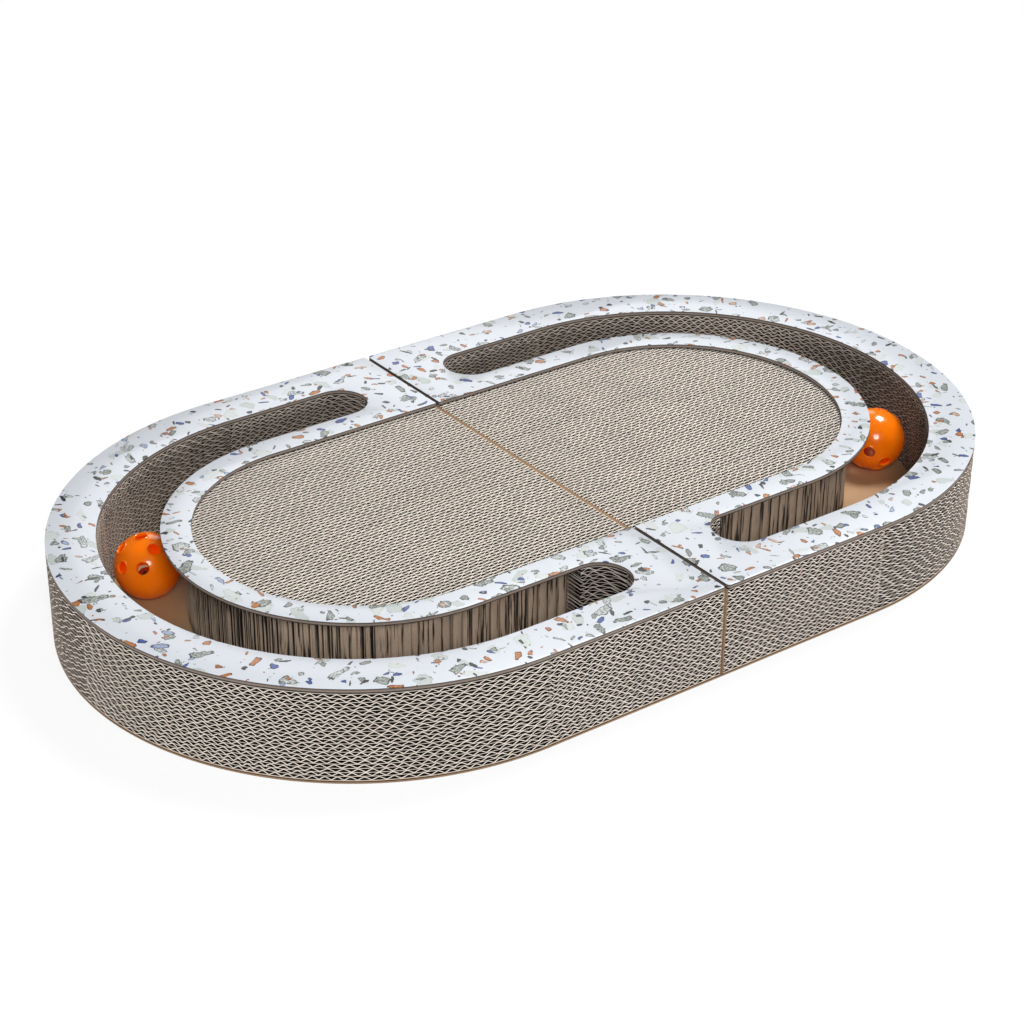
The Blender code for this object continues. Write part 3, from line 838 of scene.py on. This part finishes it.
@shared
def perforated_cap():
    """Cap with a ring of round holes and a raised rim round each."""
    tree, given, result = new_group(
        "Geometry", "perforated_cap",
        dict(Geometry="Geometry", Radius=0.02, Wall=0.0014, Holes=5, Hole_Radius=0.004, Polar=0.6,
             Rim=0.0003, Material="Material"),
        Geometry="Geometry")
    hole, polar, wall = given["Hole Radius"], given["Polar"], given["Wall"]
    plane = half_chord(given["Radius"], hole)
    circle = add(tree, "GeometryNodeMeshCircle", Vertices=given["Holes"],
                 Radius=plane * polar.maths("SINE"))
    up = combine(tree, 0.0, 0.0, plane * polar.maths("COSINE"))
    raised = add(tree, "GeometryNodeTransform", Geometry=circle, Translation=up)
    place = add(tree, "GeometryNodeInputPosition")
    facing = add(tree, "FunctionNodeAlignRotationToVector", axis="Z", Vector=place)

    def ring_of(shape):
        copies = add(tree, "GeometryNodeInstanceOnPoints", Points=raised, Instance=shape, Rotation=facing)
        return add(tree, "GeometryNodeRealizeInstances", copies)

    drill = add(tree, "GeometryNodeMeshCylinder", Vertices=HOLE_SIDES, Radius=hole,
                Depth=wall * DRILL_LENGTH)
    cut = add(tree, "GeometryNodeMeshBoolean", operation="DIFFERENCE", solver="EXACT",
              Mesh_1=given["Geometry"], Mesh_2=ring_of(drill))
    line = add(tree, "GeometryNodeCurvePrimitiveCircle", Resolution=HOLE_SIDES, Radius=hole)
    bead = add(tree, "GeometryNodeCurvePrimitiveCircle", Resolution=RIM_SIDES, Radius=given["Rim"])
    rim = add(tree, "GeometryNodeCurveToMesh", Curve=line, Profile_Curve=bead)
    inside = place.vectors("LENGTH").maths("LESS_THAN", given["Radius"] - wall * INNER_SIDE)
    return close_tree(given, result, (cut, ring_of(rim)), inside=inside)


# Helpers for pieces
def new_object(name, data):
    """Make an object in the scene."""
    made = bpy.data.objects.new(name, data)
    bpy.context.scene.collection.objects.link(made)
    return made


def grow(tree, mesh=None, **values):
    """Evaluate a geometry tree on a mesh, and return the result as a plain mesh."""
    host = new_object("host", mesh or bpy.data.meshes.new("host"))
    modifier = host.modifiers.new("grow", "NODES")
    modifier.node_group = tree
    for item in tree.interface.items_tree:
        label = item.name.replace(" ", "_")
        if item.in_out == "INPUT" and label in values:
            modifier[item.identifier] = values[label]
    bpy.context.view_layer.update()
    evaluated = host.evaluated_get(bpy.context.evaluated_depsgraph_get())
    grown = bpy.data.meshes.new_from_object(evaluated)
    bpy.data.objects.remove(host, do_unlink=True)
    return grown


def add_piece(name, mesh, body, node):
    """Put a finished mesh on its body, in place of its CAD node."""
    mesh.name = name
    piece = new_object(name, mesh)
    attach(piece, body)
    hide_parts(node)


def move_mesh(mesh, matrix):
    """Move a mesh, and keep its faces outwards through a mirror."""
    mesh.transform(matrix)
    if matrix.determinant() < 0:
        mesh.flip_normals()


def smooth(mesh, degrees):
    """Shade a mesh smooth up to an angle between its faces."""
    mesh.shade_smooth()
    mesh.set_sharp_from_angle(angle=math.radians(degrees))


def mesh_of(shape, name):
    """Turn a shape into a mesh."""
    mesh = bpy.data.meshes.new(name)
    shape.to_mesh(mesh)
    shape.free()
    return mesh


def arc(centre_u, centre_v, radius, start, end, steps):
    """Points on an arc, angles in degrees."""
    angles = [math.radians(start + (end - start) * i / steps) for i in range(steps + 1)]
    return [(centre_u + radius * math.cos(angle), centre_v + radius * math.sin(angle)) for angle in angles]


def loft(outlines_at, profile, side, materials, material_at):
    """Closed flat piece: its outlines at each (inset, height) of an edge profile, capped at both ends."""
    shape = bmesh.new()
    rings = []
    for inset, height in profile:
        outlines = outlines_at(inset)
        rings.append([[shape.verts.new((side * u, v, height)) for u, v in points] for points in outlines])
    for step, (lower, upper) in enumerate(zip(rings, rings[1:])):
        for low_ring, high_ring in zip(lower, upper):
            count = len(low_ring)
            for i in range(count):
                j = (i + 1) % count
                face = shape.faces.new((low_ring[i], low_ring[j], high_ring[j], high_ring[i]))
                face.material_index = material_at(step)
    for level, step in ((rings[0], 0), (rings[-1], len(profile) - 2)):
        corners = [vertex for ring in level for vertex in ring]
        for triangle in tessellate_polygon([[vertex.co for vertex in ring] for ring in level]):
            shape.faces.new([corners[i] for i in triangle]).material_index = material_at(step)
    bmesh.ops.recalc_face_normals(shape, faces=shape.faces)
    mesh = mesh_of(shape, "loft")
    for material in materials:
        mesh.materials.append(material)
    smooth(mesh, 40)
    return mesh


ARC_STEPS = 90
CORNER_STEPS = 6
END_STEPS = 24


def d_outline(start, radius, inset, corner=0.0):
    """Outline of a D, moved inwards by an inset, with rounded seam corners."""
    near, outer = start + inset, radius - inset
    bow = arc(STRAIGHT, 0.0, outer, -90, 90, ARC_STEPS)
    if not corner:
        return [(near, -outer)] + bow + [(near, outer)]
    bend = corner - inset
    front = arc(start + corner, -(radius - corner), bend, 180, 270, CORNER_STEPS)
    rear = arc(start + corner, radius - corner, bend, 90, 180, CORNER_STEPS)
    return front + bow + rear


BOARD_CORNERS = {"left": 1.2 * MM, "right": 2.2 * MM}


def board_outlines(inset, corner):
    """Printed board: a D with a notch for the pad, and the slot of the track."""
    opening = OPENING_RADIUS + inset
    near = SEAM_BLOCK + inset
    outer = d_outline(SEAM_BLOCK, HALF_WIDTH, inset, corner)
    outer += [(near, opening)] + arc(STRAIGHT, 0.0, opening, 90, -90, ARC_STEPS) + [(near, -opening)]
    middle = WALL_RADIUS - END_RADIUS
    centre = TRACK_END + END_RADIUS
    slot = arc(STRAIGHT, 0.0, WALL_RADIUS + inset, -90, 90, ARC_STEPS)
    slot += arc(centre, middle, END_RADIUS + inset, 90, 270, END_STEPS)
    slot += arc(STRAIGHT, 0.0, RING_RADIUS - inset, 90, -90, ARC_STEPS)
    slot += arc(centre, -middle, END_RADIUS + inset, 90, 270, END_STEPS)
    return [outer, slot]


def rounded_profile(low, high, rounding, steps=3):
    """Edge profile of a sheet: rounded at its bottom and its top."""
    bends = [math.pi / 2 * i / steps for i in range(steps + 1)]
    drawn = [(rounding * (1 - math.sin(bend)), rounding * (1 - math.cos(bend))) for bend in bends]
    return [(a, low + b) for a, b in drawn] + [(b, high - a) for a, b in drawn]


# How far the ends of each hinge leaf stand back from the walls, the rounding of the kraft sheets,
# and how much a leaf's open face has to look along X
LEAF_SET_BACK = {"left": 4.0 * MM, "right": 0.0}
KRAFT_ROUNDING = 0.2 * MM
LEAF_FACING = 0.7


# Operators, one for each group of like pieces
class SCRATCHER_OT_base_sheets(bpy.types.Operator):
    """Kraft base sheets and hinge leaves"""

    bl_idname = "scratcher.base_sheets"
    bl_label = "Base Sheets And Hinge"

    def execute(self, context):
        kraft = [finish_of("kraft_face"), finish_of("kraft_edge")]
        for name, side in SIDES.items():
            def base(inset):
                return [d_outline(SEAM_LEAF, HALF_WIDTH, inset)]

            profile = rounded_profile(BASE_LOW.z, BASE_HIGH.z, KRAFT_ROUNDING)
            last_step = len(profile) - 2
            mesh = loft(base, profile, side, kraft, lambda step: int(0 < step < last_step))
            add_piece(name + "_kraft_base", mesh, name + "_half", name + "_base_sheet")

            def leaf(inset):
                near, far, edge = SEAM_LEAF + inset, -LEAF_LOW.x - inset, HALF_WIDTH - inset
                edge -= LEAF_SET_BACK[name]
                return [[(near, -edge), (far, -edge), (far, edge), (near, edge)]]

            profile = rounded_profile(LEAF_LOW.z, LEAF_HIGH.z, KRAFT_ROUNDING)
            mesh = loft(leaf, profile, side, [kraft[0], finish_of("leaf_edge")], lambda step: 0)
            for face in mesh.polygons:
                face.material_index = int(abs(face.normal.x) < LEAF_FACING)
            add_piece(name + "_kraft_leaf", mesh, name + "_half", name + "_hinge_leaf")
        return {"FINISHED"}


class SCRATCHER_OT_walls(bpy.types.Operator):
    """Corrugated wall blocks: straight legs and quarters of the round wall"""

    bl_idname = "scratcher.walls"
    bl_label = "Wall Blocks"

    def execute(self, context):
        board = settings_of("corrugation")
        half_gap = GLUE_GAP / 2
        common = dict(Layers=board.wall_layers, Bottom=BLOCK_LOW.z, Top=BLOCK_HIGH.z, Outer=HALF_WIDTH,
                      Inner=WALL_RADIUS, Pitch=board.flute_pitch, Paper=board.wall_paper,
                      Ragged=board.ragged, Material=finish_of("corrugated_wall"))
        turn = Matrix.Translation((STRAIGHT, 0.0, 0.0)) @ Matrix.Rotation(math.radians(-45), 4, "Z")
        seed = 1
        for name, side in SIDES.items():
            for row_name, row in ROWS.items():
                leg = grow(leg_block(), Near=SEAM_BLOCK, Far=STRAIGHT - half_gap, Track_End=TRACK_END,
                           Pad_Face=PAD_RADIUS + GLUE_GAP, End_Radius=END_RADIUS, Seed=seed, **common)
                quarter = grow(quarter_block(), Cut=half_gap * math.sqrt(2), Seed=seed + 1, **common)
                flip = Matrix.Diagonal((side, row, 1.0, 1.0))
                for kind, mesh, matrix in (("leg", leg, flip), ("arc", quarter, flip @ turn)):
                    move_mesh(mesh, matrix)
                    part = f"{name}_{row_name}_{kind}"
                    add_piece(part + "_layers", mesh, name + "_half", part + "_block")
                seed += 2
        return {"FINISHED"}


FIRST_PAD_SEED = 20


class SCRATCHER_OT_pads(bpy.types.Operator):
    """Scratch pads of upright corrugated strips"""

    bl_idname = "scratcher.pads"
    bl_label = "Scratch Pads"

    def execute(self, context):
        board = settings_of("corrugation")
        stand = Matrix.Rotation(math.radians(90), 4, "X")
        for seed, (name, side) in enumerate(SIDES.items(), FIRST_PAD_SEED):
            pad = grow(pad_strips(), Layers=board.pad_layers, Bottom=BLOCK_LOW.z, Top=BLOCK_HIGH.z,
                       Pitch=board.flute_pitch, Paper=board.pad_paper, Ragged=board.ragged, Seed=seed,
                       Material=finish_of("corrugated_pad"), Near=SEAM_BLOCK, Straight=STRAIGHT,
                       Radius=PAD_RADIUS)
            move_mesh(pad, Matrix.Diagonal((side, 1.0, 1.0, 1.0)) @ stand)
            add_piece(name + "_pad_strips", pad, name + "_half", name + "_scratch_pad")
        return {"FINISHED"}


# Printed skin of the boards, the grooves beside it, and the bevel of the rounded edge
SKIN = 0.3 * MM
GROOVE = 0.12 * MM
BEVEL = 0.3
FIRST_PRINTED_STEP = 6


class SCRATCHER_OT_boards(bpy.types.Operator):
    """Printed top boards with the slot of the track"""

    bl_idname = "scratcher.boards"
    bl_label = "Top Boards"

    def execute(self, context):
        rounding = settings_of("print").rounding
        low, high = BOARD_LOW.z, BOARD_HIGH.z
        profile = [(GROOVE, low), (0.0, low + GROOVE)]
        profile += [(0.0, low + SKIN), (GROOVE, low + SKIN + GROOVE), (GROOVE, high - SKIN - GROOVE)]
        profile += [(0.0, high - SKIN), (0.0, high - rounding)]
        profile += [(rounding * BEVEL, high - rounding * BEVEL), (rounding, high)]
        finishes = [finish_of("grey_board_edge"), finish_of("terrazzo_print")]
        for name, side in SIDES.items():
            def board(inset):
                return board_outlines(inset, BOARD_CORNERS[name])

            mesh = loft(board, profile, side, finishes, lambda step: int(step >= FIRST_PRINTED_STEP))
            add_piece(name + "_printed_board", mesh, name + "_half", name + "_top_board")
        return {"FINISHED"}


def cup(radius, wall, gap, polar_steps=24, segments=96):
    """Half shell of revolution about Z, open below, with a flat rim."""
    steps = range(polar_steps + 1)
    profile = []
    for shell, order in ((radius, steps), (radius - wall, reversed(steps))):
        for i in order:
            angle = (math.pi / 2 - gap / 2 / shell) * i / polar_steps
            profile.append((shell * math.sin(angle), shell * math.cos(angle)))
    shape = bmesh.new()
    verts = [shape.verts.new((x, 0.0, z)) for x, z in profile]
    edges = [shape.edges.new(pair) for pair in zip(verts, verts[1:])]
    bmesh.ops.spin(shape, geom=verts + edges, cent=(0, 0, 0), axis=(0, 0, 1), angle=2 * math.pi,
                   steps=segments, use_merge=True, use_duplicate=False)
    bmesh.ops.remove_doubles(shape, verts=shape.verts, dist=WELD)
    bmesh.ops.recalc_face_normals(shape, faces=shape.faces)
    return mesh_of(shape, "cup")


# Pose of each ball: tilt and heading of its upper pole, and turn of its holes
BALL_POSES = {"left": (37.8, -154.2, 49.0), "right": (55.1, 32.9, 44.4)}
CAP_GAP = 0.05 * MM


class SCRATCHER_OT_balls(bpy.types.Operator):
    """Perforated balls in two caps"""

    bl_idname = "scratcher.balls"
    bl_label = "Balls"

    def execute(self, context):
        ball = settings_of("ball")
        halves = (("upper", Matrix.Identity(4)), ("lower", Matrix.Rotation(math.pi, 4, "X")))
        for name in SIDES:
            joint = next(j for j in frame["joints"] if j["name"] == name + "_ball_roll")
            centre = Vector(joint["pos_m"])
            radius = centre.z - BASE_HIGH.z - GLUE_GAP
            tilt, heading, phase = map(math.radians, BALL_POSES[name])
            lean = Euler((0.0, tilt, heading)).to_matrix().to_4x4()
            pose = Matrix.Translation(centre) @ lean @ Matrix.Rotation(phase, 4, "Z")
            for half, flip in halves:
                mesh = grow(perforated_cap(), cup(radius, ball.wall, CAP_GAP), Radius=radius,
                            Wall=ball.wall, Holes=ball.hole_count, Hole_Radius=ball.hole_radius,
                            Polar=ball.hole_polar, Rim=ball.rim, Material=finish_of("moulded_plastic"))
                smooth(mesh, 35)
                move_mesh(mesh, pose @ flip)
                add_piece(f"{name}_ball_{half}_shell", mesh, name + "_ball",
                          f"{name}_ball_cap_{half}")
        return {"FINISHED"}


class SCRATCHER_OT_bells(bpy.types.Operator):
    """Bells inside the balls"""

    bl_idname = "scratcher.bells"
    bl_label = "Bells"

    def execute(self, context):
        nickel = finish_of("bell_nickel")
        for name in SIDES:
            for part in ("bell_slotted_cup", "bell_plain_cup", "bell_pellet"):
                node = frame["nodes"][f"{name}_{part}"]
                node.data.materials.clear()
                node.data.materials.append(nickel)
        return {"FINISHED"}


# Azimuth and height of the soft lights in degrees, and their sizes
LIGHTS = {
    "above": (102, 60, (0.75, 0.75)),
    "behind": (148, 31, (1.2, 1.2)),
    "front": (10, 11, (1.2, 0.7)),
    "camera": (-31, 35, (0.75, 0.7)),
    "left": (-110, 8, (1.4, 0.6)),
    "right": (54, 9, (1.2, 0.6)),
}
LIGHT_DISTANCE = 2.6

# Floor: its radius, its drop below the base, and how its weight fades with distance
FLOOR_RADIUS = 2.5
FLOOR_DROP = 0.02 * MM
FLOOR_FADE = (0.35, 1.3, 0.12, 0.0)

# Half of the band over which the white from below turns into that from above
HORIZON = 0.05


def direction(azimuth, elevation):
    """Direction towards an azimuth, which is 0 in front, and a height over the horizon."""
    return Vector((math.sin(azimuth) * math.cos(elevation), -math.cos(azimuth) * math.cos(elevation),
                   math.sin(elevation)))


class SCRATCHER_OT_stage(bpy.types.Operator):
    """Floor, surrounding white, lights and camera"""

    bl_idname = "scratcher.stage"
    bl_label = "Stage"

    def execute(self, context):
        stage = settings_of("stage")
        self.add_floor()
        self.add_world(stage.sky, stage.ground)
        for name, (azimuth, elevation, size) in LIGHTS.items():
            place = direction(math.radians(azimuth), math.radians(elevation)) * LIGHT_DISTANCE
            self.add_light(name + "_light", getattr(stage, name), place, size)
        self.add_camera(stage)
        context.scene.view_settings.view_transform = "Standard"
        return {"FINISHED"}

    def add_floor(self):
        """Pale floor that thins out with distance, and that a folded half shows through."""
        shape = bmesh.new()
        bmesh.ops.create_circle(shape, cap_ends=True, segments=64, radius=FLOOR_RADIUS)
        mesh = mesh_of(shape, "floor")
        material, tree, shader, place = new_material(
            "pale_floor", Roughness=0.7, Base_Color=(0.9, 0.9, 0.9))
        weight = place.vectors("LENGTH").remap(*FLOOR_FADE)
        clear = add(tree, "ShaderNodeBsdfTransparent")
        mixed = add(tree, "ShaderNodeMixShader", weight, clear, Wire(shader.outputs[0]))
        feed(tree.nodes["Material Output"].inputs["Surface"], mixed)
        mesh.materials.append(material)
        floor = new_object("floor", mesh)
        floor.location.z = -FLOOR_DROP

    def add_world(self, sky, ground):
        """White surroundings, which light the object from below more than from above."""
        world = bpy.data.worlds.new("white_studio")
        world.use_nodes = True
        bpy.context.scene.world = world
        tree = world.node_tree
        height = split(add(tree, "ShaderNodeTexCoord")["Generated"])[2]
        lit = height.remap(-HORIZON, HORIZON, ground, sky)
        seen = add(tree, "ShaderNodeLightPath")["Is Camera Ray"]
        strength = seen.remap(0.0, 1.0, lit, 1.0)
        feed_all(tree.nodes["Background"], dict(Strength=strength, Color=(1.0, 1.0, 1.0)))

    def add_light(self, name, power, place, size):
        """Soft light that faces the object."""
        light = bpy.data.lights.new(name, "AREA")
        light.energy = power
        light.shape = "RECTANGLE"
        light.size, light.size_y = size
        lamp = new_object(name, light)
        lamp.location = place
        lamp.rotation_euler = (-place).to_track_quat("-Z", "Y").to_euler()

    def add_camera(self, stage):
        """Camera at the height and heading of the photograph."""
        camera = bpy.data.cameras.new("camera")
        camera.sensor_width = 36.0
        camera.lens = stage.lens
        camera.clip_start = 0.05
        eye = new_object("camera", camera)
        back = direction(stage.azimuth, stage.elevation)
        eye.location = Vector(stage.target) + back * stage.distance
        turn = (-back).to_track_quat("-Z", "Y").to_matrix() @ Matrix.Rotation(stage.roll, 3, "Z")
        eye.rotation_euler = turn.to_euler()
        bpy.context.scene.camera = eye


class SCRATCHER_PT_panel(bpy.types.Panel):
    """Pieces of the scratcher and their settings"""

    bl_idname = "SCRATCHER_PT_panel"
    bl_label = "Cat Scratcher"
    bl_space_type = "VIEW_3D"
    bl_region_type = "UI"
    bl_category = "Scratcher"

    def draw(self, context):
        for operator in OPERATORS:
            self.layout.operator(operator.bl_idname)
        for name in SETTINGS:
            box = self.layout.box()
            group = settings_of(name)
            for field in group.bl_rna.properties:
                if field.identifier not in {"rna_type", "name"}:
                    box.prop(group, field.identifier)


SETTINGS = {
    "corrugation": CorrugationSettings,
    "print": PrintSettings,
    "ball": BallSettings,
    "stage": StageSettings,
}
OPERATORS = (
    SCRATCHER_OT_stage,
    SCRATCHER_OT_base_sheets,
    SCRATCHER_OT_walls,
    SCRATCHER_OT_pads,
    SCRATCHER_OT_boards,
    SCRATCHER_OT_balls,
    SCRATCHER_OT_bells,
)


def register():
    """Register the classes and hang the settings on the scene."""
    for name, group in SETTINGS.items():
        bpy.utils.register_class(group)
        setattr(bpy.types.Scene, "scratcher_" + name, PointerProperty(type=group))
    for operator in OPERATORS:
        bpy.utils.register_class(operator)
    bpy.utils.register_class(SCRATCHER_PT_panel)


def unregister():
    """Take everything back out."""
    bpy.utils.unregister_class(SCRATCHER_PT_panel)
    for operator in reversed(OPERATORS):
        bpy.utils.unregister_class(operator)
    for name, group in SETTINGS.items():
        delattr(bpy.types.Scene, "scratcher_" + name)
        bpy.utils.unregister_class(group)


def main():
    """Dress the frame."""
    register()
    for operator in OPERATORS:
        group, name = operator.bl_idname.split(".")
        if getattr(getattr(bpy.ops, group), name)() != {"FINISHED"}:
            raise RuntimeError(operator.bl_label + " did not finish")


if __name__ == "__main__":
    main()
